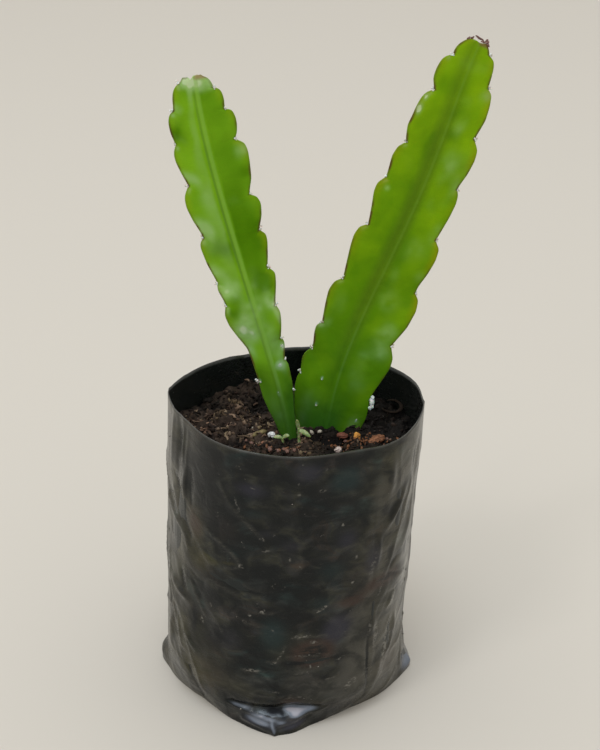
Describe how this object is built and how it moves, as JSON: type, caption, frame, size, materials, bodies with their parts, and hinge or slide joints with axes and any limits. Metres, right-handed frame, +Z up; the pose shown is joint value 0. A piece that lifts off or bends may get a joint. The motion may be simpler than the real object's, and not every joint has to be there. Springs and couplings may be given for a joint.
{
  "type": "potted night-blooming cactus",
  "caption": "Young night-blooming orchid cactus with flat scalloped leaf-like stems, rooted in potting mix in a soft black nursery grow bag with folded square base.",
  "frame": {"origin": "middle of the bag's flat base, on the floor", "axes": "+Z up, the bag's pinched front corner toward -Y, the taller stem leaning toward +X; metres"},
  "size_m": [0.1471, 0.1187, 0.2975],
  "materials": {
    "bag_film": "satin",
    "potting_mix": "matte",
    "stem_left_green": "satin",
    "stem_right_green": "satin",
    "sprout_right_green": "satin",
    "sprout_left_green": "satin",
    "bark_chip_1": "matte",
    "bark_chip_2": "matte",
    "bark_chip_3": "matte",
    "bark_chip_4": "matte",
    "perlite_grain_1": "matte",
    "perlite_grain_2": "matte"
  },
  "bodies": {
    "root": {"grow_bag": "bag_film", "soil": "potting_mix", "stem_left": "stem_left_green", "stem_right": "stem_right_green", "sprout_right": "sprout_right_green", "sprout_left": "sprout_left_green", "bark_chip_1": "bark_chip_1", "bark_chip_2": "bark_chip_2", "bark_chip_3": "bark_chip_3", "bark_chip_4": "bark_chip_4", "perlite_grain_1": "perlite_grain_1", "perlite_grain_2": "perlite_grain_2"}
  },
  "joints": []
}
